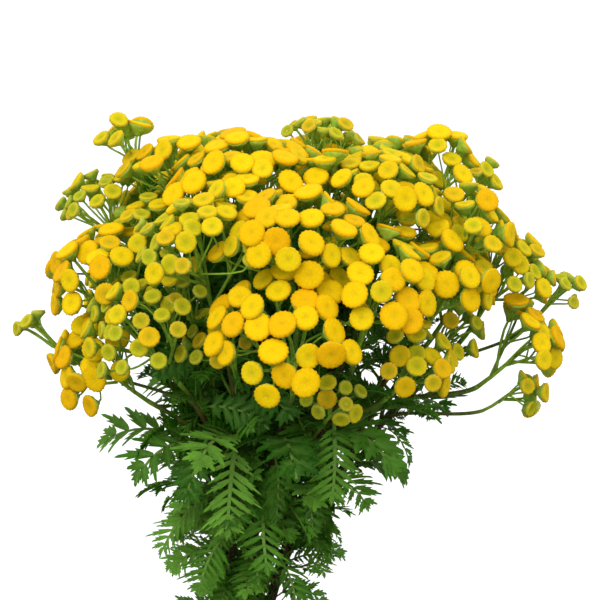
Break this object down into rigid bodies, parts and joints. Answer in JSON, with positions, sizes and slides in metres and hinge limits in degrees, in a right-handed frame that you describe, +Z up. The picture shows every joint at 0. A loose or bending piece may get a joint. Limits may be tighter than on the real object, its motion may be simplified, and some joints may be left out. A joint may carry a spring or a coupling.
{
  "type": "potted tansy",
  "caption": "Clump of tall leafy stems topped with flat sprays of button-like flower heads, growing in a plain round clay pot of soil.",
  "frame": {"origin": "on the pot's axis, at the middle of the face that the pot stands on", "axes": "+Z up, along the longest extent; -Y is the front that the picture shows and +X its right"},
  "size_m": [0.2306, 0.1822, 0.3307],
  "materials": {
    "clay": "matt fired clay",
    "soil": "moist crumbly soil",
    "leafy": "dull living leaf and stem",
    "flower": "matt flower heads"
  },
  "bodies": {
    "root": {"pot": "clay", "soil": "soil", "stem_front": "leafy", "stem_front_right": "leafy", "stem_upper_right": "leafy", "stem_top": "leafy", "stem_mid_left": "leafy", "stem_left_inner": "leafy", "stem_left_mid": "leafy", "stem_top_left": "leafy", "stem_right_upper": "leafy", "stem_right_outer": "leafy", "stem_back_left": "leafy", "stem_back": "leafy", "stem_back_right": "leafy", "stem_top_back": "leafy", "spray_front_high": "flower", "spray_front_low": "flower", "spray_front_right": "flower", "spray_right_inner": "flower", "spray_low_buds": "flower", "spray_upper_right": "flower", "spray_top_right": "flower", "spray_top_centre": "flower", "spray_top_bud": "flower", "spray_mid_left": "flower", "spray_mid_buds": "flower", "spray_left_inner": "flower", "spray_left_low": "flower", "spray_left_tip": "flower", "spray_left_mid": "flower", "spray_left_upper": "flower", "spray_top_left": "flower", "spray_top_left_tip": "flower", "spray_right_upper": "flower", "spray_right_mid": "flower", "spray_right_bud": "flower", "spray_right_outer": "flower", "spray_right_low": "flower", "spray_right_tip": "flower", "spray_right_drop": "flower", "spray_back_left": "flower", "spray_back_left_low": "flower", "spray_back_high": "flower", "spray_back_low": "flower", "spray_back_right": "flower", "spray_back_right_low": "flower", "spray_top_back": "flower"}
  },
  "joints": []
}
